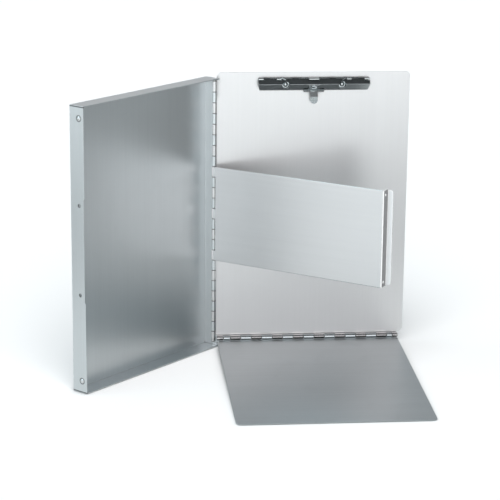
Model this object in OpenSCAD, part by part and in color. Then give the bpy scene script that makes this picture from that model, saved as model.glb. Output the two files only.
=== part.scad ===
// Side-opening aluminium forms holder with storage tray, standing open.
// A folded tray holds the forms, a clip plate closes over it on a piano hinge,
// a retainer arm turns on the same pin, and a writing flap hangs on a second
// piano hinge along the foot of the clip plate.
// Millimetres, +Z up. The tray's back lies in the XZ plane and its open side
// faces -Y. The origin is the middle of the tray's bottom outer face.

/* [Tray] */
// outer width of the tray, hinge side to free side
tray_w = 228.4; // [200:0.2:320]
// outer height of the tray as it stands
tray_h = 327; // [280:1:420]
// outer depth of the tray, rim to back
tray_d = 21.4; // [12:0.2:60]
// thickness of every folded sheet
sheet = 1.0; // [0.6:0.1:1.6]
// outside radius of the folded edges
fold_r = 2.0; // [1.2:0.1:4]
// diameter of the two snap holes in the free side
snap_hole_d = 3.0; // [2:0.1:5]
// open seam between the free side and the two ends
seam = 0.45; // [0.2:0.05:1]
// distance of the snap holes behind the rim
snap_hole_back = 7.8; // [4:0.1:12]
// depth of the recess in the rim that takes the arm's flange
rim_recess = 1.2; // [0.6:0.1:2]
// head diameter of the corner rivets
corner_rivet_d = 5.6; // [3:0.1:8]
// height of the corner rivets above the foot, and below the top
corner_rivet_z = 14; // [8:0.5:30]
// length of the folded corner tabs inside the free side
corner_tab = 22; // [12:1:40]

/* [Main hinge] */
// outside diameter of the rolled knuckles
barrel_d = 5.2; // [4:0.1:9]
// diameter of the hinge wires
pin_d = 3.0; // [1.6:0.1:5]
// radial clearance of a wire in its knuckles
pin_gap = 0.06; // [0.01:0.01:0.1]
// length of one knuckle
knuckle = 12.7; // [8:0.1:25.4]
// number of knuckles, always odd
knuckle_count = 25; // [5:2:41]
// height of the lowest knuckle's foot
hinge_z0 = 6.1; // [4:0.1:20]
// distance of the hinge axis behind the tray's rim
hinge_recess = 5.2; // [3:0.1:12]
// gap between two knuckles
knuckle_gap = 0.7; // [0.2:0.05:1]

/* [Cover] */
// hinge axis to the cover's free edge
cover_w = 230.6; // [200:0.2:320]
// height of the cover's top edge
cover_top = 332.4; // [280:0.2:430]
// gap between the closed cover and the tray's rim
cover_gap = 0.2; // [0:0.05:1]
// radius of the cover's outer corners
cover_r = 5; // [2:0.5:15]
// angle between the tray and the cover, 0 closed
cover_open = 134.4; // [118:0.2:168]

/* [Writing flap] */
// height of the flap hinge axis
flap_axis_z = 9.3; // [7:0.1:20]
// flap length from its hinge axis to the front edge
flap_len = 275; // [200:1:288]
// left edge of the flap, measured from the main axis
flap_u0 = 4.2; // [3.8:0.1:10]
// right edge of the flap, measured from the main axis
flap_u1 = 223.4; // [180:0.2:320]
// radius of the flap's front corners
flap_r = 6; // [2:0.5:20]
// depth of the clearance slots in front of the barrel
flap_slot = 4.6; // [4:0.1:10]

/* [Retainer arm] */
// index of the arm's first knuckle, counted from the foot
arm_k0 = 8; // [4:2:12]
// number of knuckle lengths that the arm spans
arm_span = 9; // [5:4:13]
// hinge axis to the outer face of the arm's lip
arm_len = 223.6; // [190:0.2:310]
// depth of the arm's folded lip
arm_lip = 12; // [6:0.2:20]
// width of the arm's flange beyond the lip
arm_flange = 6.4; // [4:0.2:10]
// corner radius of the flange
arm_flange_r = 3; // [1:0.5:6]
// angle between the tray and the arm, 0 parallel to the back
arm_open = 99; // [60:0.5:110]
// distance of the snap pips from the arm's middle
pip_off = 51; // [30:0.5:60]

/* [Clip] */
// length of the clip
clip_len = 131; // [80:1:180]
// middle of the clip, measured from the main axis
clip_u = 116.9; // [90:0.1:160]
// height of the clip's rod
rod_z = 324.4; // [280:0.1:400]
// diameter of the clip's rod
rod_d = 2.0; // [1.5:0.1:3]
// distance between the two clip rivets
rivet_pitch = 66.7; // [40:0.1:100]
// diameter of the openings in the jaw over the rivets
jaw_hole_d = 8.6; // [6:0.1:12]
// width of the lifting tab
tab_w = 9; // [6:0.5:16]

/* [Hidden] */
$fn = 64;
br = barrel_d/2;
hx = tray_w/2 - br;                    // main axis
hy = -tray_d/2 + hinge_recess;
hinge_z1 = hinge_z0 + knuckle_count*knuckle;
arm_z0 = hinge_z0 + arm_k0*knuckle;
arm_z1 = arm_z0 + arm_span*knuckle;
arm_zm = (arm_z0 + arm_z1)/2;
wi = hinge_recess + cover_gap;         // inner face of the cover panel
wo = wi + sheet;                       // outer face of the cover panel
clr = br + 0.6;                        // sheets stop here beside foreign knuckles
bore_d = pin_d + 2*pin_gap;
kw = (barrel_d - bore_d)/2;            // wall of a knuckle
cover_ang = cover_open - 180;          // direction of the cover, from +X
arm_ang = arm_open - 180;
flap_tilt = asin((flap_axis_z - br*1.004)/flap_len);
shelf_top = flap_axis_z + br;          // shelf that carries the flap hinge
rod_w = wi - 2.8;                      // rod axis in front of the panel
clip_t = 0.8;
clip_u0 = clip_u - clip_len/2;
clip_u1 = clip_u + clip_len/2;
// Knuckle owners on the main pin: 0 cover, 1 tray, 2 arm
function owner(k) = (k % 2 == 1) ? 1 :
    (k >= arm_k0 && k < arm_k0 + arm_span && (k - arm_k0) % 4 == 0) ? 2 : 0;
// Knuckle ends on the flap hinge, cover first, cover last
flap_b = concat([flap_u0, flap_u0 + 7.8],
    [for (i = [0:15]) flap_u0 + 16.1 + i*knuckle],
    [flap_u1 - 5.9, flap_u1]);
flap_n = len(flap_b) - 1;

// ---------- helpers ----------

// rectangle with all four corners round
module rrect(x0, y0, x1, y1, r) {
    translate([x0 + r, y0]) square([x1 - x0 - 2*r, y1 - y0]);
    translate([x0, y0 + r]) square([x1 - x0, y1 - y0 - 2*r]);
    for (x = [x0 + r, x1 - r]) for (y = [y0 + r, y1 - r])
        translate([x, y]) circle(r);
}

// extrude a (y, z) outline along +X
module ext_x(x0, l) {
    translate([x0, 0, 0]) rotate([90, 0, 90]) linear_extrude(height = l) children();
}

// extrude an (x, z) outline along +Y
module ext_y(y0, l) {
    translate([0, y0 + l, 0]) rotate([90, 0, 0]) linear_extrude(height = l) children();
}

// everything that belongs to the cover, in cover coordinates:
// x along the plate from the main axis, y out of the closed box, z up
module on_cover() { translate([hx, hy, 0]) rotate([0, 0, cover_ang]) children(); }
module on_arm() { translate([hx, hy, 0]) rotate([0, 0, arm_ang]) children(); }

// ---------- tray ----------

// solid block with the tray's folded edges round, open front cut off square
module tray_block(in, r) {
    f = -tray_d/2;
    intersection() {
        translate([0, 0, -1]) linear_extrude(height = tray_h + 2)
            rrect(-tray_w/2 + in, f - 10, tray_w/2 - in, tray_d/2 - in, r);
        ext_x(-tray_w/2 - 1, tray_w + 2)
            rrect(f - 10, in, tray_d/2 - in, tray_h - in, r);
    }
}

module tray_pan() {
    color([0.74, 0.76, 0.78])
    difference() {
        union() {
            difference() {
                intersection() {
                    tray_block(0, fold_r);
                    translate([-tray_w, -tray_d/2, -1]) cube([2*tray_w, 2*tray_d, tray_h + 2]);
                }
                tray_block(sheet, fold_r - sheet);
                // hinge wall stops short of the barrel
                translate([hx + br - 2*sheet, hy - 20, hinge_z0 - 1.2])
                    cube([4*sheet, 20 + clr, hinge_z1 - hinge_z0 + 2.4]);
                // shallow recess for the arm's flange, with sloping ends
                ext_x(-tray_w/2 - 1, sheet + 2)
                    polygon([[-tray_d/2 - 1, arm_z0 - 2.4 - rim_recess],
                        [-tray_d/2, arm_z0 - 1.4 - rim_recess],
                        [-tray_d/2 + rim_recess, arm_z0 - 1.4],
                        [-tray_d/2 + rim_recess, arm_z1 + 1.4],
                        [-tray_d/2, arm_z1 + 1.4 + rim_recess],
                        [-tray_d/2 - 1, arm_z1 + 2.4 + rim_recess]]);
                // snap holes
                for (s = [-1, 1])
                    translate([-tray_w/2 - 1, -tray_d/2 + snap_hole_back, arm_zm + s*pip_off])
                        rotate([0, 90, 0]) cylinder(d = snap_hole_d, h = sheet + 2);
                // open seams where the free side meets the two ends
                for (z = [sheet, tray_h - sheet - seam])
                    translate([-tray_w/2 - 1, -tray_d/2 - 1, z]) cube([1.6, tray_d + 1 - fold_r, seam]);
            }
            // folded corner tabs behind the free side
            for (m = [0, 1]) translate([0, 0, m*tray_h]) mirror([0, 0, m])
                translate([-tray_w/2 + sheet, -tray_d/2 + 1.6, sheet])
                    ext_x(0, sheet) translate([0, 0])
                        polygon([[0, 0], [tray_d - 5.2, 0], [tray_d - 5.2, corner_tab - 6],
                            [tray_d - 9.2, corner_tab], [3, corner_tab], [0, corner_tab - 3]]);
            // knuckles rolled from the hinge wall
            for (k = [0:knuckle_count - 1]) if (owner(k) == 1)
                translate([hx, hy, hinge_z0 + k*knuckle + knuckle_gap/2])
                    linear_extrude(height = knuckle - knuckle_gap) {
                        circle(br);
                        translate([br - sheet, 0]) square([sheet, clr + 0.5]);
                    }
        }
        // bore for the wire
        translate([hx, hy, hinge_z0 - 0.2])
            cylinder(d = bore_d, h = hinge_z1 - hinge_z0 + 0.4);
        // rivet holes through side and tab
        for (z = [corner_rivet_z, tray_h - corner_rivet_z])
            translate([-tray_w/2 - 1, -tray_d/2 + 6.9, z])
                rotate([0, 90, 0]) cylinder(d = 3.1, h = 4);
    }
}

// domed rivets that close the two free corners
module corner_rivets() {
    color([0.70, 0.72, 0.74])
    for (z = [corner_rivet_z, tray_h - corner_rivet_z])
        translate([-tray_w/2, -tray_d/2 + 6.9, z]) rotate([0, 90, 0]) {
            cylinder(d = 3.0, h = 2*sheet + 0.1);
            dome(corner_rivet_d, 1.0, -1);
            translate([0, 0, 2*sheet]) dome(4.6, 0.8, 1);
        }
}

// low dome head on the z = 0 plane, rising towards dir
module dome(d, h, dir) {
    R = (d*d/4 + h*h)/(2*h);
    mirror([0, 0, dir < 0 ? 1 : 0])
        intersection() {
            translate([0, 0, h - R]) sphere(R);
            cylinder(d = d + 1, h = h + 1);
        }
}

// ---------- hinge wires ----------

module main_hinge_pin() {
    color([0.62, 0.63, 0.65])
    translate([hx, hy, 0]) {
        translate([0, 0, hinge_z0 - 0.9]) cylinder(d = pin_d, h = hinge_z1 - hinge_z0 + 1.8);
        translate([0, 0, hinge_z0 - 0.9]) cylinder(d = 4.2, h = 0.8);
        translate([0, 0, hinge_z1 + 0.1]) cylinder(d = 4.2, h = 0.8);
    }
}

module flap_hinge_pin() {
    color([0.62, 0.63, 0.65])
    on_cover() translate([0, 0, flap_axis_z]) rotate([0, 90, 0]) {
        translate([0, 0, flap_u0 - 0.1]) cylinder(d = pin_d, h = flap_u1 - flap_u0 + 0.2);
        translate([0, 0, flap_u1 + 0.1]) cylinder(d = 4.2, h = 0.8);
    }
}

// ---------- cover ----------

module cover_plate() {
    // free outline of the panel, in (x, z)
    module panel_outline() {
        zb = shelf_top - sheet + fold_r;
        polygon([[br + 0.3, zb + 3], [br + 0.3, cover_top - 4], [br + 4.3, cover_top],
            [cover_w - cover_r, cover_top], [cover_w - cover_r, zb],
            [flap_u0, zb]]);
        translate([cover_w - cover_r, zb + 2.5]) square([cover_r, cover_top - zb - 2.5 - cover_r]);
        translate([cover_w - cover_r, cover_top - cover_r]) circle(cover_r);
        polygon([[cover_w - cover_r - 2, zb], [cover_w - 3.4, zb],
            [cover_w, zb + 3.4], [cover_w, zb + 8], [cover_w - cover_r - 2, zb + 8]]);
    }
    color([0.80, 0.82, 0.84])
    on_cover() difference() {
        union() {
            // panel
            ext_y(wi, sheet) panel_outline();
            // hinge lip, folded towards the inside along the main hinge
            translate([0, 0, hinge_z0 + 6.2]) linear_extrude(height = hinge_z1 - hinge_z0 - 6.4)
                difference() {
                    union() {
                        translate([br - sheet, clr]) square([sheet, wo - clr - fold_r]);
                        translate([br - sheet + fold_r, wo - fold_r]) circle(fold_r);
                        translate([br - sheet + fold_r, wo - sheet]) square([3, sheet]);
                    }
                    translate([br - sheet + fold_r, wo - fold_r]) circle(fold_r - sheet);
                    translate([br, clr - 1]) square([fold_r - sheet, wo - fold_r - clr + 1]);
                    translate([br - sheet + fold_r, clr - 1]) square([4, wo - sheet - clr + 1]);
                }
            // main knuckles of the cover
            for (k = [0:knuckle_count - 1]) if (owner(k) == 0)
                translate([0, 0, hinge_z0 + k*knuckle + knuckle_gap/2])
                    linear_extrude(height = knuckle - knuckle_gap) {
                        circle(br);
                        translate([br - sheet, 0]) square([sheet, clr + 0.5]);
                    }
            // lip beside the lowest knuckle
            translate([br - sheet, clr - 0.1, hinge_z0 + knuckle_gap/2])
                cube([sheet, wi - clr - 0.9, 7]);
            // shelf folded towards the inside along the foot, out to the flap hinge
            ext_x(flap_u0, flap_u1 - flap_u0) difference() {
                union() {
                    translate([clr, shelf_top - sheet]) square([wo - clr - fold_r, sheet]);
                    translate([wo - fold_r, shelf_top - sheet + fold_r]) circle(fold_r);
                    translate([wi, shelf_top - sheet + fold_r]) square([sheet, 2]);
                }
                translate([wo - fold_r, shelf_top - sheet + fold_r]) circle(fold_r - sheet);
                translate([clr - 1, shelf_top]) square([wo - fold_r - clr + 1, 5]);
                translate([clr - 1, shelf_top - sheet + fold_r]) square([wi - clr + 1, 5]);
            }
            // flap knuckles of the cover
            for (k = [0:flap_n - 1]) if (k % 2 == 0)
                ext_x(flap_b[k] + (k == 0 ? 0 : knuckle_gap/2),
                      flap_b[k + 1] - flap_b[k] - (k == 0 || k == flap_n - 1 ? 0.5 : 1)*knuckle_gap) {
                    translate([0, flap_axis_z]) circle(br);
                    translate([0, shelf_top - sheet]) square([clr + 0.5, sheet]);
                }
        }
        // bores for the two wires
        translate([0, 0, hinge_z0 - 0.2]) cylinder(d = bore_d, h = hinge_z1 - hinge_z0 + 0.4);
        translate([flap_u0 - 0.2, 0, flap_axis_z]) rotate([0, 90, 0])
            cylinder(d = bore_d, h = flap_u1 - flap_u0 + 0.4);
        // clip rivet holes
        for (s = [-1, 1]) translate([clip_u + s*rivet_pitch/2, wi - 1, 318.2])
            rotate([-90, 0, 0]) cylinder(d = 3.3, h = 4);
    }
}

// ---------- writing flap ----------

module writing_flap() {
    // outline in (x, y), hinge along y = 0, front edge at y = -flap_len
    module flap_outline() {
        w = flap_u1 - flap_u0;
        // corner trimmed where it swings past the foot of the tray
        polygon([[flap_u0, -14], [flap_u0 + 2, -11.5], [flap_u0 + 2, -flap_slot],
            [flap_u0 + 20, -flap_slot], [flap_u0 + 20, -14]]);
        translate([flap_u0, -flap_len]) {
            translate([0, flap_r]) square([w, flap_len - flap_r - 14]);
            translate([20, flap_r]) square([w - 20, flap_len - flap_r - flap_slot]);
            translate([flap_r, 0]) square([w - 2*flap_r, flap_r + 1]);
            for (x = [flap_r, w - flap_r]) translate([x, flap_r]) circle(flap_r);
        }
    }
    color([0.72, 0.74, 0.76])
    on_cover() translate([0, 0, flap_axis_z]) rotate([flap_tilt, 0, 0]) difference() {
        union() {
            translate([0, 0, -br]) linear_extrude(height = sheet) flap_outline();
            for (k = [0:flap_n - 1]) if (k % 2 == 1)
                ext_x(flap_b[k] + knuckle_gap/2, flap_b[k + 1] - flap_b[k] - knuckle_gap) {
                    circle(br);
                    translate([-flap_slot - 0.5, -br]) square([flap_slot + 0.5, sheet]);
                }
        }
        translate([flap_u0 - 0.2, 0, 0]) rotate([0, 90, 0])
            cylinder(d = bore_d, h = flap_u1 - flap_u0 + 0.4);
    }
}

// ---------- retainer arm ----------

module retainer_arm() {
    ri = 0.6;
    bl = -br + arm_lip;                // outer face of the flange
    color([0.78, 0.80, 0.82])
    on_arm() difference() {
        union() {
            // panel
            translate([clr - 0.1, -br, arm_z0 + 0.2]) cube([arm_len - clr - 1, sheet, arm_z1 - arm_z0 - 0.4]);
            // lip, with the fold rounded
            translate([0, 0, arm_z0 + 0.2]) linear_extrude(height = arm_z1 - arm_z0 - 0.4) {
                difference() {
                    union() {
                        translate([arm_len - fold_r, -br + fold_r]) circle(fold_r);
                        translate([arm_len - fold_r - 1, -br]) square([1, sheet]);
                        translate([arm_len - sheet, -br + fold_r]) square([sheet, arm_lip - fold_r - sheet/2]);
                    }
                    translate([arm_len - fold_r, -br + fold_r]) circle(fold_r - sheet);
                    translate([arm_len - fold_r - 3, -br + sheet]) square([3, 4]);
                    translate([arm_len - fold_r - 1, -br + fold_r]) square([1 + fold_r - sheet, 4]);
                }
            }
            // flange with round corners
            ext_y(bl - sheet, sheet) {
                translate([arm_len - sheet, arm_z0 + 1.6])
                    square([sheet + arm_flange - arm_flange_r, arm_z1 - arm_z0 - 3.2]);
                translate([arm_len, arm_z0 + 1.6 + arm_flange_r])
                    square([arm_flange, arm_z1 - arm_z0 - 3.2 - 2*arm_flange_r]);
                for (z = [arm_z0 + 1.6 + arm_flange_r, arm_z1 - 1.6 - arm_flange_r])
                    translate([arm_len + arm_flange - arm_flange_r, z]) circle(arm_flange_r);
            }
            // snap pips on the lip
            for (s = [-1, 1])
                translate([arm_len, bl - sheet - snap_hole_back + rim_recess + 0.2, arm_zm + s*pip_off])
                    rotate([0, 90, 0]) dome(2.6, 0.9, 1);
            // knuckles
            for (k = [0:knuckle_count - 1]) if (owner(k) == 2)
                translate([0, 0, hinge_z0 + k*knuckle + knuckle_gap/2])
                    linear_extrude(height = knuckle - knuckle_gap) {
                        circle(br);
                        translate([0, -br]) square([clr + 0.5, sheet]);
                    }
        }
        translate([0, 0, hinge_z0 - 0.2]) cylinder(d = bore_d, h = hinge_z1 - hinge_z0 + 0.4);
    }
}

// ---------- clip ----------

// ear of the base, rolled around the rod
module base_ear(u0, l) {
    ext_x(u0, l) {
        translate([rod_w, rod_z]) circle(rod_d/2 + clip_t);
        translate([rod_w, rod_z + rod_d/2]) square([wi - rod_w, clip_t]);
    }
}

module clip_base() {
    color([0.80, 0.81, 0.82])
    on_cover() difference() {
        union() {
            // foot plate on the panel
            ext_y(wi - clip_t, clip_t)
                polygon([[clip_u0 + 6, 313.4], [clip_u1 - 6, 313.4], [clip_u1 - 0.6, 317],
                    [clip_u1 - 0.6, rod_z + rod_d/2 + clip_t], [clip_u0 + 0.6, rod_z + rod_d/2 + clip_t],
                    [clip_u0 + 0.6, 317]]);
            base_ear(clip_u0 + 0.6, 5.4);
            base_ear(clip_u1 - 6.0, 5.4);
            base_ear(clip_u - 5.75, 11.5);
        }
        translate([clip_u0 - 1, rod_w, rod_z]) rotate([0, 90, 0]) cylinder(d = rod_d + 0.04, h = clip_len + 2);
        for (s = [-1, 1]) translate([clip_u + s*rivet_pitch/2, wi - 2, 318.2])
            rotate([-90, 0, 0]) cylinder(d = 3.3, h = 4);
    }
}

module clip_rod() {
    color([0.72, 0.73, 0.74])
    on_cover() translate([clip_u0, rod_w, rod_z]) rotate([0, 90, 0])
        cylinder(d = rod_d, h = clip_len);
}

// jaw centre line in (y, z): curl, ridge, gripping edge
jaw_t = 0.8;
curl_r = rod_d/2 + 0.05 + jaw_t;       // outside of the jaw's curl
ridge = [wi - 8.6, 319.3];
edge = [wi - 0.5, 311.4];
rv = ridge - [rod_w, rod_z];
tan_a = atan2(rv[1], rv[0]) - acos((curl_r - jaw_t/2)/norm(rv));
tan_p = [rod_w, rod_z] + (curl_r - jaw_t/2)*[cos(tan_a), sin(tan_a)];
leg_ang = atan2(edge[0] - ridge[0], ridge[1] - edge[1]);  // lower leg from vertical
leg_n = [-cos(leg_ang), -sin(leg_ang)];                   // its outward normal
up_n = [cos(tan_a), sin(tan_a)];                          // outward normal, upper leg
function leg_p(z) = ridge + (ridge[1] - z)/(ridge[1] - edge[1])*(edge - ridge);
lever_t = 0.8;
lever_z = 316.0;

// bent strip of thickness t along the points p, round at its bends
module strip(p, t) {
    for (i = [0:len(p) - 2]) translate(p[i])
        rotate(atan2(p[i + 1][1] - p[i][1], p[i + 1][0] - p[i][0]))
            translate([0, -t/2]) square([norm(p[i + 1] - p[i]), t]);
    for (i = [1:1:len(p) - 2]) translate(p[i]) circle(t/2);
}

// frame on the outer face of the lower leg, +Z outward
module on_leg(z) {
    translate([clip_u, leg_p(z)[0] + leg_n[0]*jaw_t/2, leg_p(z)[1] + leg_n[1]*jaw_t/2])
        rotate([90 + leg_ang, 0, 0]) children();
}

// straight wire between two points
module wire(a, b, d) {
    v = b - a;
    translate(a) rotate([0, acos(v[2]/norm(v)), atan2(v[1], v[0])])
        cylinder(d = d, h = norm(v), $fn = 24);
}

// torsion spring on the rod: a coil, a short leg on the foot plate and a leg
// that slants over the upper leg of the jaw into the rivet opening; s = +1, -1
module clip_spring(s) {
    d = 0.8;
    n = 5;
    R = rod_d/2 + 0.06 + d/2;
    um = clip_u + s*(rivet_pitch/2 + 8);
    q = [um - s*4.1, rod_w + 2.5*up_n[0], rod_z + 2.5*up_n[1]];
    e = [um - s*8.0, rod_w + 2.5*up_n[0] - 2.2*up_n[1], rod_z + 2.5*up_n[1] + 2.2*up_n[0]];
    // five close turns, drawn as a tube with a groove between each two
    translate([um - 2.4, rod_w, rod_z]) rotate([0, 90, 0]) difference() {
        cylinder(r = R + d/2, h = 4.8);
        translate([0, 0, -1]) cylinder(r = R - d/2, h = 7);
        for (i = [1:n - 1]) translate([0, 0, i*0.96 - 0.1]) difference() {
            cylinder(r = R + d, h = 0.2);
            translate([0, 0, -0.1]) cylinder(r = R + 0.15, h = 0.4);
        }
    }
    wire([um + s*1.92, rod_w + R, rod_z], [um + s*1.92, rod_w + R, rod_z - 5.4], d);
    wire([um - s*1.92, rod_w + R*up_n[0], rod_z + R*up_n[1]], q, d);
    wire(q, e, d);
    translate(q) sphere(d/2 + 0.03);
}

module clip_spring_left() {
    color([0.66, 0.67, 0.69]) on_cover() clip_spring(-1);
}

module clip_spring_right() {
    color([0.66, 0.67, 0.69]) on_cover() clip_spring(1);
}

// two rivets through the foot plate and the cover
module clip_rivets() {
    color([0.74, 0.75, 0.77])
    on_cover() for (s = [-1, 1])
        translate([clip_u + s*rivet_pitch/2, 0, 318.2]) rotate([-90, 0, 0]) {
            translate([0, 0, wi - clip_t - 0.1]) cylinder(d = 3.2, h = clip_t + sheet + 0.2);
            translate([0, 0, wi - clip_t]) dome(6.0, 1.6, -1);
            translate([0, 0, wo]) dome(5.6, 1.1, 1);
        }
}

module jaw_curl(u0, l) {
    ext_x(u0, l) difference() {
        translate([rod_w, rod_z]) circle(curl_r);
        translate([rod_w - 0.6, rod_z - 3]) square([4, 3]);
    }
}

module clip_jaw() {
    color([0.55, 0.57, 0.58])
    on_cover() difference() {
        union() {
            ext_x(clip_u0, clip_len) strip([tan_p, ridge, edge], jaw_t);
            for (u = [7.0, 40, clip_len - 47, clip_len - 13.5]) jaw_curl(clip_u0 + u, u == 40 || u == clip_len - 47 ? 7 : 6.5);
        }
        translate([clip_u0 - 1, rod_w, rod_z]) rotate([0, 90, 0]) cylinder(d = rod_d + 0.1, h = clip_len + 2);
        // gaps in the upper leg for the ears of the base and for the springs
        for (u = [clip_u0 - 0.4, clip_u1 - 6.4]) translate([u, rod_w - 3.2, rod_z - 2.3]) cube([6.8, 7, 6]);
        translate([clip_u - 6.3, rod_w - 3.2, rod_z - 2.3]) cube([12.6, 7, 6]);
        for (s = [-1, 1]) translate([clip_u + s*(rivet_pitch/2 + 8) - 3.0, rod_w - 3.2, rod_z - 2.3]) cube([6.0, 7, 6]);
        // openings over the two rivets
        for (s = [-1, 1]) translate([clip_u + s*rivet_pitch/2, wi - 14, 317.8])
            rotate([-90, 0, 0]) cylinder(d = jaw_hole_d, h = 13.9);
        // tapered ends of the lower leg
        for (s = [0, 1]) translate([clip_u, 0, 0]) mirror([s, 0, 0]) translate([-clip_u, 0, 0])
            ext_y(ridge[0] - 2, 20)
                polygon([[clip_u0 - 1, ridge[1] - 1], [clip_u0, ridge[1] - 1], [clip_u0 + 2.2, edge[1] - 2], [clip_u0 - 1, edge[1] - 2]]);
        // hole for the lever rivet
        on_leg(lever_z) translate([0, 0, -3]) cylinder(d = 3.1, h = 6);
    }
}

// lifting tab riveted to the lower leg of the jaw
module lever_tab() {
    off = jaw_t/2 + 0.02 + lever_t/2;
    a = leg_p(318.6) + off*leg_n;
    b = leg_p(311.4) + off*leg_n;
    c = b + 8.2*[-sin(28.125), -cos(28.125)];  // neck, slanting away from the plate
    e = c + [0, -8];                           // tip, parallel to the plate
    // front outline in (x, z): plate, stiff wings, neck and round tip
    module tab_outline() {
        translate([-7, b[1]]) square([14, a[1] - b[1] + 1]);
        translate([-12, b[1] - 1.7]) square([24, 3.3]);
        translate([-tab_w/2, e[1] + tab_w/2]) square([tab_w, b[1] - e[1] - tab_w/2]);
        translate([0, e[1] + tab_w/2]) circle(tab_w/2);
    }
    color([0.60, 0.62, 0.63])
    on_cover() difference() {
        intersection() {
            ext_x(clip_u - 14, 28) strip([a, b, c, e - [0, 1]], lever_t);
            translate([clip_u, 0, 0]) ext_y(-20, 40) tab_outline();
        }
        on_leg(lever_z) translate([0, 0, -3]) cylinder(d = 3.1, h = 6);
    }
}

module lever_rivet() {
    color([0.74, 0.75, 0.77])
    on_cover() on_leg(lever_z) {
        translate([0, 0, -jaw_t - 0.05]) cylinder(d = 3.0, h = jaw_t + lever_t + 0.1);
        translate([0, 0, lever_t + 0.02]) dome(7.0, 1.2, 1);
        translate([0, 0, -jaw_t]) dome(4.6, 0.8, -1);
    }
}

tray_pan();
corner_rivets();
main_hinge_pin();
cover_plate();
flap_hinge_pin();
writing_flap();
retainer_arm();
clip_base();
clip_rod();
clip_spring_left();
clip_spring_right();
clip_rivets();
clip_jaw();
lever_tab();
lever_rivet();
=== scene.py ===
import math

import bpy
from mathutils import Matrix, Vector

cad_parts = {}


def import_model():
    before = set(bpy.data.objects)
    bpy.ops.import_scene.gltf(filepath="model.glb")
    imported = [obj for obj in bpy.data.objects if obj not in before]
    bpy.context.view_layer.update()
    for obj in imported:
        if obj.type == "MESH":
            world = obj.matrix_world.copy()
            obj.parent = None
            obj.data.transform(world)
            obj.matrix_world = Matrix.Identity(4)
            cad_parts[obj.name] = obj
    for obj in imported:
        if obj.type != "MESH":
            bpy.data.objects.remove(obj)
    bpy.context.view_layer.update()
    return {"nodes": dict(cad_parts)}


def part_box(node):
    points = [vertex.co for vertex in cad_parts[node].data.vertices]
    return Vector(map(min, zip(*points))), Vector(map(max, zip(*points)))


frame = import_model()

nodes = frame["nodes"]
scene = bpy.context.scene
scene.view_settings.view_transform = "Standard"
scene.view_settings.look = "None"
scene.view_settings.exposure = 0.0
scene.view_settings.gamma = 1.0

# ------------------------------------------------------------------ frame of the cover
HX, HY = 0.1116, -0.0055                     # main hinge axis
CA = math.radians(134.4 - 180.0)
CU = Vector((math.cos(CA), math.sin(CA), 0))   # along the cover, away from the hinge
CW = Vector((-math.sin(CA), math.cos(CA), 0))  # out of the closed box
AA = math.radians(99.0 - 180.0)
AU = Vector((math.cos(AA), math.sin(AA), 0))   # along the retainer arm


def on_cover(u, w, z):
    return Vector((HX, HY, 0)) + CU * u + CW * w + Vector((0, 0, z))


# ------------------------------------------------------------------ camera
def camera():
    pos = Vector((-1.60631, -1.44766, 0.73533))
    yaw, pitch, roll, f_px = 0.89166, 0.26773, 0.00994, 1953.6
    fw = Vector((math.sin(yaw) * math.cos(pitch), math.cos(yaw) * math.cos(pitch), -math.sin(pitch)))
    rt = Vector((math.cos(yaw), -math.sin(yaw), 0))
    up = rt.cross(fw)
    c, s = math.cos(roll), math.sin(roll)
    r2, u2 = rt * c + up * s, up * c - rt * s
    data = bpy.data.cameras.new("camera")
    data.sensor_fit = "HORIZONTAL"
    data.sensor_width = 36.0
    data.lens = f_px / 500 * 36.0
    data.clip_start, data.clip_end = 0.05, 60
    ob = bpy.data.objects.new("camera", data)
    m = Matrix((r2, u2, -fw)).transposed().to_4x4()
    m.translation = pos
    ob.matrix_world = m
    scene.collection.objects.link(ob)
    scene.camera = ob


camera()


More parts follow.
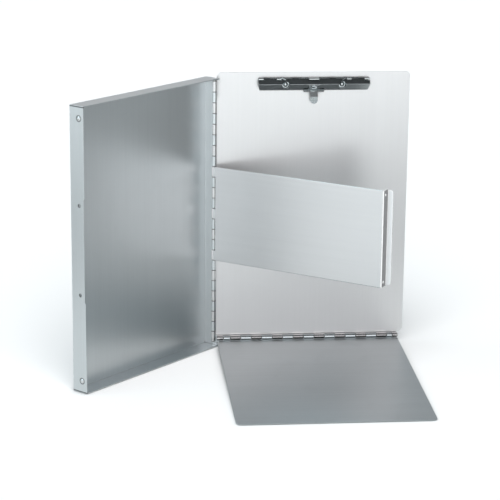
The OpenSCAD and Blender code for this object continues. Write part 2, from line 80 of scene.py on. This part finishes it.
# ------------------------------------------------------------------ materials
class Nodes:
    """Small helper that builds one node material."""

    def __init__(self, name):
        self.mat = bpy.data.materials.new(name)
        self.mat.use_nodes = True
        self.nt = self.mat.node_tree
        self.nt.nodes.clear()
        self.out = self.nt.nodes.new("ShaderNodeOutputMaterial")
        self.p = self.nt.nodes.new("ShaderNodeBsdfPrincipled")
        self.nt.links.new(self.p.outputs[0], self.out.inputs[0])
        self.tc = self.nt.nodes.new("ShaderNodeTexCoord")

    def link(self, a, b):
        self.nt.links.new(a, b)

    def mapping(self, scale, rot=(0, 0, 0), loc=(0, 0, 0)):
        m = self.nt.nodes.new("ShaderNodeMapping")
        m.inputs["Scale"].default_value = scale
        m.inputs["Rotation"].default_value = rot
        m.inputs["Location"].default_value = loc
        self.link(self.tc.outputs["Object"], m.inputs["Vector"])
        return m.outputs[0]

    def turned(self, rot, scale, loc=(0, 0, 0)):
        """Turn first, then stretch, so the grain follows a sheet that stands at an angle."""
        return self.scaled(self.mapping((1, 1, 1), rot), scale, loc)

    def scaled(self, v, scale, loc=(0, 0, 0)):
        m = self.nt.nodes.new("ShaderNodeMapping")
        m.inputs["Scale"].default_value = scale
        m.inputs["Location"].default_value = loc
        self.link(v, m.inputs["Vector"])
        return m.outputs[0]

    def noise(self, vec, scale=1.0, detail=3.0, rough=0.55, lac=2.0, distort=0.0):
        n = self.nt.nodes.new("ShaderNodeTexNoise")
        n.noise_dimensions = "3D"
        n.inputs["Scale"].default_value = scale
        n.inputs["Detail"].default_value = detail
        n.inputs["Roughness"].default_value = rough
        n.inputs["Lacunarity"].default_value = lac
        n.inputs["Distortion"].default_value = distort
        self.link(vec, n.inputs["Vector"])
        return n.outputs[0]

    def remap(self, v, a, b, c, d, smooth=False):
        n = self.nt.nodes.new("ShaderNodeMapRange")
        n.clamp = True
        if smooth:
            n.interpolation_type = "SMOOTHSTEP"
        for i, x in zip(("From Min", "From Max", "To Min", "To Max"), (a, b, c, d)):
            n.inputs[i].default_value = x
        self.link(v, n.inputs["Value"])
        return n.outputs[0]

    def math(self, op, a, b=None, clamp=False):
        n = self.nt.nodes.new("ShaderNodeMath")
        n.operation = op
        n.use_clamp = clamp
        for i, x in enumerate((a, b)):
            if x is None:
                continue
            if isinstance(x, (int, float)):
                n.inputs[i].default_value = x
            else:
                self.link(x, n.inputs[i])
        return n.outputs[0]

    def mix(self, fac, a, b):
        n = self.nt.nodes.new("ShaderNodeMix")
        n.data_type = "RGBA"
        for sock, x in ((n.inputs[0], fac), (n.inputs[6], a), (n.inputs[7], b)):
            if isinstance(x, (int, float)):
                sock.default_value = x
            elif isinstance(x, tuple):
                sock.default_value = (*x, 1.0)
            else:
                self.link(x, sock)
        return n.outputs[2]

    def bump(self, h, strength, dist, normal=None):
        n = self.nt.nodes.new("ShaderNodeBump")
        n.inputs["Strength"].default_value = strength
        n.inputs["Distance"].default_value = dist
        self.link(h, n.inputs["Height"])
        if normal is not None:
            self.link(normal, n.inputs["Normal"])
        return n.outputs[0]

    def open_to_light(self, distance, lo, hi):
        """1 on open faces, 0 down in gaps and corners: the mask for painted shade where shade falls in gaps and
        corners.
        """
        a = self.nt.nodes.new("ShaderNodeAmbientOcclusion")
        a.samples = 6
        a.inputs["Distance"].default_value = distance
        return self.remap(a.outputs["AO"], lo, hi, 0.0, 1.0)

    def soft_edges(self, radius):
        b = self.nt.nodes.new("ShaderNodeBevel")
        b.samples = 6
        b.inputs["Radius"].default_value = radius
        return b.outputs[0]

    def vec_math(self, op, a, b=None):
        n = self.nt.nodes.new("ShaderNodeVectorMath")
        n.operation = op
        self.link(a, n.inputs[0])
        if isinstance(b, (tuple, Vector)):
            n.inputs[1].default_value = b
        elif b is not None:
            self.link(b, n.inputs[1])
        return n.outputs["Value"]

    def own_normal(self):
        """The face's normal in the node's own space, so that it turns with the joint."""
        t = self.nt.nodes.new("ShaderNodeVectorTransform")
        t.vector_type, t.convert_from, t.convert_to = "NORMAL", "WORLD", "OBJECT"
        self.link(self.true_normal(), t.inputs[0])
        return t.outputs[0]

    def true_normal(self):
        return self.nt.nodes.new("ShaderNodeNewGeometry").outputs["True Normal"]

    def worn_edge(self, soft):
        """1 where the softened normal leaves the face's own: along edges."""
        return self.remap(self.vec_math("DOT_PRODUCT", soft, self.true_normal()), 0.93, 0.99, 1.0, 0.0)

    def scratches(self, vec, scale, width, seed):
        """Long thin lines: distance to the cell border of a stretched Voronoi."""
        m = self.scaled(vec, scale, (seed, seed * 1.7, seed * 0.3))
        v = self.nt.nodes.new("ShaderNodeTexVoronoi")
        v.feature = "DISTANCE_TO_EDGE"
        v.inputs["Scale"].default_value = 1.0
        v.inputs["Randomness"].default_value = 1.0
        self.link(m, v.inputs["Vector"])
        return self.remap(v.outputs["Distance"], 0.0, width, 1.0, 0.0)


def sheet_metal(name, base, rough, turn=0.0, grain="z", spread=0.03, tint=(1.0, 1.0, 1.0), seed=0.0,
                knuckle=False, foot=None, bend=None, edge=0.0004, gap=0.0016, rings=(),
                seams=(), tip=None):
    """Satin mill finish aluminium. turn is the sheet's angle about Z; grain runs along z, or along the sheet (x) or
    across it (y). knuckle and foot say that the sheet has rolled parts round the main hinge or the flap's hinge,
    which the rolling burnished; with foot "cover" the lower side of the cover's knuckles is darkened as painted shade
    and the plate near the clip as a painted shadow of the clip; bend is the direction of a folded lip and the base of
    its face, darkened as a painted dark reflection, while its fold is burnished smoother and painted white as a painted
    highlight; rings are painted shade (y, z, radii, grey) round the snap holes and rivets of the free side, and seams
    the heights of its dirty seams; tip is the distance from the main hinge where the flange starts, with a matt face."""
    n = Nodes(name)
    local = n.mapping((1, 1, 1), (0, 0, -turn), (seed, seed, 0))
    fine = {"z": (2600, 2600, 34), "x": (34, 2600, 2600), "y": (2600, 34, 2600)}[grain]
    mid = {"z": (420, 420, 7), "x": (7, 420, 420), "y": (420, 7, 420)}[grain]
    wide = {"z": (42, 42, 2.2), "x": (2.2, 42, 42), "y": (42, 2.2, 42)}[grain]
    g1 = n.noise(n.scaled(local, fine), 1.0, 2.0, 0.6)
    g2 = n.noise(n.scaled(local, mid, (3.1, 1.7, 0.4)), 1.0, 3.0, 0.6)
    g3 = n.noise(n.scaled(local, wide, (7.7, 2.3, 5.1)), 1.0, 2.0, 0.5)
    blotch = n.noise(local, 9.0, 3.0, 0.55, 2.1, 0.4)
    smudge = n.noise(n.scaled(local, (1, 1, 1), (4.0, 9.0, 2.0)), 26.0, 4.0, 0.6, 2.0, 0.8)
    smudge = n.remap(smudge, 0.52, 0.72, 0.0, 1.0, True)
    # colour: two close greys drawn along the grain, a little duller where it was handled
    streak = n.math("ADD", n.math("MULTIPLY", g2, 0.55), n.math("MULTIPLY", g3, 0.45))
    k = n.remap(streak, 0.36, 0.64, 0.0, 1.0, True)
    dark = tuple((base - spread) * t for t in tint)
    light = tuple(min(1.0, (base + spread) * t) for t in tint)
    col = n.mix(k, dark, light)
    col = n.mix(n.math("MULTIPLY", smudge, 0.35), col, tuple((base - 1.5 * spread) * t for t in tint))
    line = n.scratches(local, {"z": (60, 60, 9), "x": (9, 60, 60), "y": (60, 9, 60)}[grain], 0.012, 2.0 + seed)
    rare = n.remap(n.noise(n.scaled(local, (1, 1, 1), (1.0, 5.0, 3.0)), 14.0, 2.0, 0.5), 0.56, 0.66, 0.0, 1.0, True)
    mark = n.math("MULTIPLY", line, rare)
    col = n.mix(n.math("MULTIPLY", mark, 0.07), col, tuple(min(1.0, (base + 2.2 * spread) * t) for t in tint))
    soft = n.soft_edges(edge)
    if tip:
        out = n.vec_math("DOT_PRODUCT", n.mapping((1, 1, 1), (0, 0, 0), (-HX, -HY, 0)), bend[0])
        flange = n.remap(out, tip, tip + 0.0006, 0.0, 1.0)
        col = n.mix(flange, col, (0.87, 0.895, 0.905))
    # painted light: the lip's face gets the darker bend base as a painted dark reflection, and the fold a white base as
    # a painted highlight
    if bend:
        facing = n.math("ABSOLUTE", n.vec_math("DOT_PRODUCT", n.own_normal(), bend[0]))
        folded = n.remap(facing, 0.8, 0.97, 0.0, 1.0)
        fold = n.math("MULTIPLY", n.remap(facing, 0.10, 0.30, 0.0, 1.0), n.math("SUBTRACT", 1.0, folded))
        col = n.mix(folded, col, tuple(bend[1] * t for t in tint))
        col = n.mix(fold, col, (1.0, 1.0, 1.0))
    worn = n.worn_edge(soft)
    col = n.mix(worn, col, tuple(min(1.0, 0.98 * t) for t in tint))
    rolled = 0.0
    if knuckle:
        from_axis = n.vec_math("LENGTH", n.mapping((1, 1, 0), (0, 0, 0), (-HX, -HY, 0)))
        rolled = n.remap(from_axis, 0.0030, 0.0034, 1.0, 0.0)
    if foot:
        turned = n.mapping((1, 1, 1), (0, 0, -turn))
        at = (0, math.sin(turn) * HX - math.cos(turn) * HY, -0.0093)
        from_axis = n.vec_math("LENGTH", n.scaled(turned, (0, 1, 1), at))
        foot_rolled = n.remap(from_axis, 0.0027, 0.0029, 1.0, 0.0)
        rolled = n.math("MAXIMUM", rolled, foot_rolled)
    if knuckle or foot:
        col = n.mix(rolled, col, tuple(ROLLED[0] * t for t in tint))
    if foot == "cover":
        # painted shade on the lower side of the cover's knuckles at the flap hinge, darkened towards 0.05 where the AO
        # finds them closed in
        painted_knuckle_shade = n.math("MULTIPLY", foot_rolled, n.math("SUBTRACT", 1.0, n.open_to_light(0.012, 0.62, 0.92)))
        col = n.mix(painted_knuckle_shade, col, tuple(0.05 * t for t in tint))
        # painted shadow of the clip on the top of the plate, darkened towards 0.12 close to the clip
        high = n.remap(n.vec_math("DOT_PRODUCT", local, (0.0, 0.0, 1.0)), 0.3000, 0.3060, 0.0, 1.0)
        painted_clip_shadow = n.math("MULTIPLY", high, n.math("SUBTRACT", 1.0, n.open_to_light(0.009, 0.30, 0.75)))
        col = n.mix(painted_clip_shadow, col, tuple(0.12 * t for t in tint))
    # painted shade round the snap holes and rivets of the free side
    for y, z, inner, outer, grey in rings:
        from_axis = n.vec_math("LENGTH", n.mapping((0, 1, 1), (0, 0, 0), (0, -y, -z)))
        side = n.remap(n.vec_math("DOT_PRODUCT", n.mapping((1, 1, 1)), (-1.0, 0.0, 0.0)), 0.1120, 0.1125, 0.0, 1.0)
        ring = n.math("MULTIPLY", n.remap(from_axis, inner, outer, 1.0, 0.0), side)
        col = n.mix(ring, col, tuple(grey * t for t in tint))
    for z in seams:
        off = n.math("ABSOLUTE", n.math("SUBTRACT", n.vec_math("DOT_PRODUCT", local, (0.0, 0.0, 1.0)), z))
        line = n.math("MULTIPLY", n.remap(off, 0.0003, 0.0008, 1.0, 0.0), side)
        col = n.mix(line, col, tuple(0.20 * t for t in tint))
    # painted shade: gaps, corners and the sheet next to neighbouring parts are darkened towards 0.10 where the AO finds
    # them closed in
    free_of_painted_shade = n.open_to_light(gap, 0.22, 0.80)
    if bend:
        free_of_painted_shade = n.math("MAXIMUM", free_of_painted_shade, n.math("SUBTRACT", 1.0, rolled))
    col = n.mix(free_of_painted_shade, tuple(0.10 * t for t in tint), col)
    n.link(col, n.p.inputs["Base Color"])
    n.p.inputs["Metallic"].default_value = 1.0
    if bend and tip:        # the fold and the flange are matt
        matt = n.math("MAXIMUM", n.math("MULTIPLY", flange, 0.75), fold)
        n.link(n.remap(matt, 0.0, 1.0, 1.0, 0.15), n.p.inputs["Metallic"])
    r = n.math("ADD", rough - 0.04, n.math("MULTIPLY", g1, 0.04))
    r = n.math("ADD", r, n.math("MULTIPLY", blotch, 0.035))
    r = n.math("ADD", r, n.math("MULTIPLY", smudge, 0.03))
    r = n.math("SUBTRACT", r, n.math("MULTIPLY", mark, 0.02), True)
    if knuckle or foot:
        r = n.math("SUBTRACT", r, n.math("MULTIPLY", rolled, rough - ROLLED[1]), True)
    if bend:
        r = n.math("SUBTRACT", r, n.math("MULTIPLY", n.math("MAXIMUM", worn, fold), 0.16), True)
    if tip:
        r = n.math("ADD", r, n.math("MULTIPLY", flange, 0.20), True)
    n.link(r, n.p.inputs["Roughness"])
    h = n.math("ADD", n.math("MULTIPLY", g1, 0.6), n.math("MULTIPLY", g2, 0.4))
    b = n.bump(h, 0.16, 0.00002, soft)
    b = n.bump(n.noise(n.scaled(local, (1, 1, 1), (2.0, 2.0, 8.0)), 9.0, 1.0, 0.4), 0.12, 0.0005, b)
    n.link(b, n.p.inputs["Normal"])
    return n.mat


def small_metal(name, base, rough, tint=(1, 1, 1), scale=1.0, bump=0.2, spread=0.04, gap=0.0012,
                edge=0.00015, tip=False):
    """Plated or drawn small metal: wire, rivets, clip. tip: the finger tip of the lifting tab is dimpled and duller."""
    n = Nodes(name)
    local = n.mapping((1, 1, 1))
    fine = n.noise(local, 2400 * scale, 2.0, 0.6)
    mid = n.noise(local, 380 * scale, 3.0, 0.55)
    big = n.noise(local, 60 * scale, 3.0, 0.6, 2.0, 0.5)
    k = n.remap(n.math("ADD", n.math("MULTIPLY", mid, 0.5), n.math("MULTIPLY", big, 0.5)), 0.38, 0.62, 0.0, 1.0, True)
    col = n.mix(k, tuple((base - spread) * t for t in tint), tuple(min(1.0, (base + spread) * t) for t in tint))
    if tip:
        z1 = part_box("lever_tab")[0][2] + 0.0080
        low = n.remap(n.vec_math("DOT_PRODUCT", local, (0.0, 0.0, 1.0)), z1 - 0.0002, z1, 1.0, 0.0)
        dimples = n.remap(n.noise(local, 900, 1.0, 0.4), 0.42, 0.58, 0.0, 1.0, True)
        col = n.mix(low, col, n.mix(dimples, tuple(0.34 * t for t in tint), tuple(0.54 * t for t in tint)))
    # painted shade: gaps, holes and hidden places (pin in the knuckle gaps, hole walls, the clip base beneath the jaw)
    # are darkened towards 0.06 where the AO finds them closed in
    free_of_painted_shade = n.open_to_light(gap, 0.30, 0.85)
    col = n.mix(free_of_painted_shade, tuple(0.06 * t for t in tint), col)
    n.link(col, n.p.inputs["Base Color"])
    n.p.inputs["Metallic"].default_value = 1.0
    r = n.math("ADD", rough - 0.04, n.math("MULTIPLY", fine, 0.03))
    r = n.math("ADD", r, n.math("MULTIPLY", big, 0.05), True)
    n.link(r, n.p.inputs["Roughness"])
    b = n.bump(n.math("ADD", n.math("MULTIPLY", fine, 0.4), n.math("MULTIPLY", mid, 0.6)), bump, 0.00004,
               n.soft_edges(edge))
    n.link(b, n.p.inputs["Normal"])
    return n.mat


COOL = (0.985, 0.997, 1.0)
ROLLED = (0.95, 0.24)         # base and roughness of the knuckles
# painted shade round the two snap holes (first two) and the two corner rivets (last two) of the free side
PAINTED_SHADE_RINGS = [(-0.0029, 0.16485 + k * 0.051, 0.0018, 0.0026, 0.30) for k in (-1, 1)]
PAINTED_SHADE_RINGS += [(-0.0038, z, 0.0031, 0.0043, 0.20) for z in (0.014, 0.313)]
m_tray = sheet_metal("tray_sheet", 0.83, 0.36, 0.0, "z", 0.012, (0.955, 0.986, 1.0), 0.0, True, rings=PAINTED_SHADE_RINGS,
                     seams=(0.001225, 0.325775))
m_cover = sheet_metal("cover_sheet", 0.955, 0.31, CA, "z", 0.010, (1.018, 1.0, 1.0), 1.3, True, "cover", gap=0.0014)
# the flap is given a much darker base (0.565) than the tray and cover of the same aluminium: painted shade, a shaded
# copy of the sheet
m_flap = sheet_metal("flap_sheet", 0.565, 0.37, CA, "x", 0.012, (0.915, 0.975, 1.0), 2.1, False, "flap", gap=0.0010)
# the lip's base 0.28 in bend is a painted dark reflection on its face
m_arm = sheet_metal("arm_sheet", 0.93, 0.34, AA, "x", 0.010, (1.010, 0.996, 1.0), 3.4, True, None,
                    (AU, 0.28), 0.0013, 0.0014, tip=0.2226)
m_wire = small_metal("hinge_wire", 0.62, 0.32, (1.0, 0.99, 0.97), gap=0.003)
m_rivet = small_metal("aluminium_rivet", 0.86, 0.15, COOL, gap=0.0022)
CHROME = (0.93, 0.985, 1.0)
m_clip = small_metal("clip_plating", 0.62, 0.12, CHROME, 1.0, 0.10, 0.03, gap=0.0028)
m_clip_base = small_metal("clip_base_plating", 0.90, 0.10, CHROME, 1.0, 0.10, 0.03, gap=0.0045)
# the rod gets a brighter copy of the jaw's chrome (0.92 against 0.62), so that it shows as white glints between the
# dark ears: painted highlight
m_clip_rod = small_metal("clip_rod_plating", 0.92, 0.10, CHROME, 1.0, 0.10, 0.03)
m_clip_rivet = small_metal("clip_rivet", 0.88, 0.10, CHROME, 1.0, 0.08, 0.03, gap=0.0035)
m_tab = small_metal("lever_plating", 0.58, 0.15, CHROME, 1.0, 0.12, 0.03, tip=True)
# the spring wire too is a brighter copy of the chrome (0.92) for white glints: painted highlight
m_spring = small_metal("spring_wire", 0.92, 0.12, CHROME, gap=0.0006)

for node, mat in {
    "tray_pan": m_tray, "corner_rivets": m_rivet, "main_hinge_pin": m_wire, "cover_plate": m_cover,
    "flap_hinge_pin": m_wire, "writing_flap": m_flap, "retainer_arm": m_arm, "clip_base": m_clip_base,
    "clip_rod": m_clip_rod, "clip_spring_left": m_spring, "clip_spring_right": m_spring,
    "clip_rivets": m_clip_rivet, "clip_jaw": m_clip, "lever_tab": m_tab, "lever_rivet": m_clip_rivet,
}.items():
    me = nodes[node].data
    for i in range(len(me.materials)):
        me.materials[i] = mat
    if not me.materials:
        me.materials.append(mat)


# ------------------------------------------------------------------ floor and light
FRONT = Vector((-0.7485, -0.663, 0.0))       # towards the camera
LEFT = Vector((-0.80, 0.60, 0.0))


def floor():
    """Plain white table with a painted contact shadow round the parts. In reflections it is painted duller away from
    the front, a painted light standing for where the main light falls.
    """
    me = bpy.data.meshes.new("floor")
    s = 14.0
    me.from_pydata([(-s, -s, 0), (s, -s, 0), (s, s, 0), (-s, s, 0)], [], [(0, 1, 2, 3)])
    ob = bpy.data.objects.new("floor", me)
    ob.location.z = -0.0004
    scene.collection.objects.link(ob)
    n = Nodes("floor")
    local = n.mapping((1, 1, 1))
    k = n.noise(local, 3.0, 2.0)
    white = n.mix(k, (0.93, 0.93, 0.93), (0.95, 0.95, 0.95))
    # painted contact shadow on the table, darkened towards 0.42 where the AO finds it closed in by the parts
    white = n.mix(n.open_to_light(0.012, 0.20, 0.97), (0.42, 0.43, 0.44), white)

    def field(op, direction=None):
        d = n.nt.nodes.new("ShaderNodeVectorMath")
        d.operation = op
        n.link(local, d.inputs[0])
        if direction is not None:
            d.inputs[1].default_value = direction
        return d.outputs["Value"]

    total = n.remap(field("LENGTH"), *FLOOR_NEAR, 0.0)
    for direction, a, b, most in FLOOR_RAMPS:
        total = n.math("ADD", total, n.remap(field("DOT_PRODUCT", direction), a, b, 0.0, most))
    # painted light: this colour is what glossy rays see of the table, bright or dull by position
    dull = n.mix(n.math("MULTIPLY", total, 1.0, True), (0.0, 0.0, 0.0), FLOOR_TINT)
    lp = n.nt.nodes.new("ShaderNodeLightPath")
    n.link(n.mix(lp.outputs["Is Glossy Ray"], white, dull), n.p.inputs["Base Color"])
    n.p.inputs["Roughness"].default_value = 0.9
    n.p.inputs["Specular IOR Level"].default_value = 0.1
    me.materials.append(n.mat)
    return ob


# painted light: what the metal sees of the table is painted bright close by and where the lights fall, duller in
# between
FLOOR_NEAR = (0.35, 0.80, 0.57)              # full brightness up to, nothing beyond, amount
FLOOR_RAMPS = [
    (FRONT, 0.25, 1.0, 0.36),
    (-FRONT, 0.0, 0.7, 0.66),
    (Vector((-0.985, -0.174, 0.0)), 0.4, 1.2, 0.66),
    (Vector((-0.985, -0.174, 0.0)), 0.0, 0.3, 0.09),
    (-LEFT, 0.0, 0.7, 0.10),
    (LEFT, 0.0, 0.7, 0.07),
]
FLOOR_TINT = (0.97, 1.0, 1.0)
floor()

# large soft lights of the studio: azimuth, elevation, how narrow, how bright
NEUTRAL = (1.01, 1.0, 1.01, 1.0)
COLD = (0.86, 1.0, 1.06, 1.0)
LIGHTS = {
    NEUTRAL: [
        (223, 8, 8.0, 1.42),     # front, behind the camera
        (45, 10, 8.0, 0.60),     # white backdrop
    ],
    COLD: [
        (156, 0, 4.0, 0.76),     # left
        (140, 38, 8.0, 1.15),    # left, high
        (310, 8, 8.0, 0.28),     # right
        (355, 8, 8.0, 1.20),     # right, behind
    ],
}
SUN = 2.95


def world():
    w = bpy.data.worlds.new("studio")
    scene.world = w
    w.use_nodes = True
    nt = w.node_tree
    nt.nodes.clear()
    out = nt.nodes.new("ShaderNodeOutputWorld")
    tc = nt.nodes.new("ShaderNodeTexCoord")

    def m(op, a, b=None):
        n = nt.nodes.new("ShaderNodeMath")
        n.operation = op
        for i, x in enumerate((a, b)):
            if x is None:
                continue
            if isinstance(x, (int, float)):
                n.inputs[i].default_value = x
            else:
                nt.links.new(x, n.inputs[i])
        return n.outputs[0]

    last = None
    for colour, lights in LIGHTS.items():
        total = 0.0
        for az, el, k, amount in lights:
            a, e = math.radians(az), math.radians(el)
            d = nt.nodes.new("ShaderNodeVectorMath")
            d.operation = "DOT_PRODUCT"
            nt.links.new(tc.outputs["Generated"], d.inputs[0])
            d.inputs[1].default_value = (math.cos(a) * math.cos(e), math.sin(a) * math.cos(e), math.sin(e))
            g = m("EXPONENT", m("MULTIPLY", m("SUBTRACT", d.outputs["Value"], 1.0), k))
            total = m("ADD", m("MULTIPLY", g, amount), total)
        bg = nt.nodes.new("ShaderNodeBackground")
        nt.links.new(total, bg.inputs["Strength"])
        bg.inputs["Color"].default_value = colour
        if last is None:
            last = bg.outputs[0]
        else:
            both = nt.nodes.new("ShaderNodeAddShader")
            nt.links.new(last, both.inputs[0])
            nt.links.new(bg.outputs[0], both.inputs[1])
            last = both.outputs[0]
    nt.links.new(last, out.inputs[0])


world()


def sun(name, direction, strength, angle):
    """Very wide, so it acts as a large soft source; it isn't seen in the metal."""
    d = bpy.data.lights.new(name, "SUN")
    d.energy = strength
    d.angle = math.radians(angle)
    ob = bpy.data.objects.new(name, d)
    ob.rotation_mode = "QUATERNION"
    ob.rotation_quaternion = Vector(direction).normalized().to_track_quat("-Z", "Y")
    ob.visible_glossy = False
    scene.collection.objects.link(ob)
    return ob


sun("overhead", (0.60, 0.52, -1.0), SUN, 55)
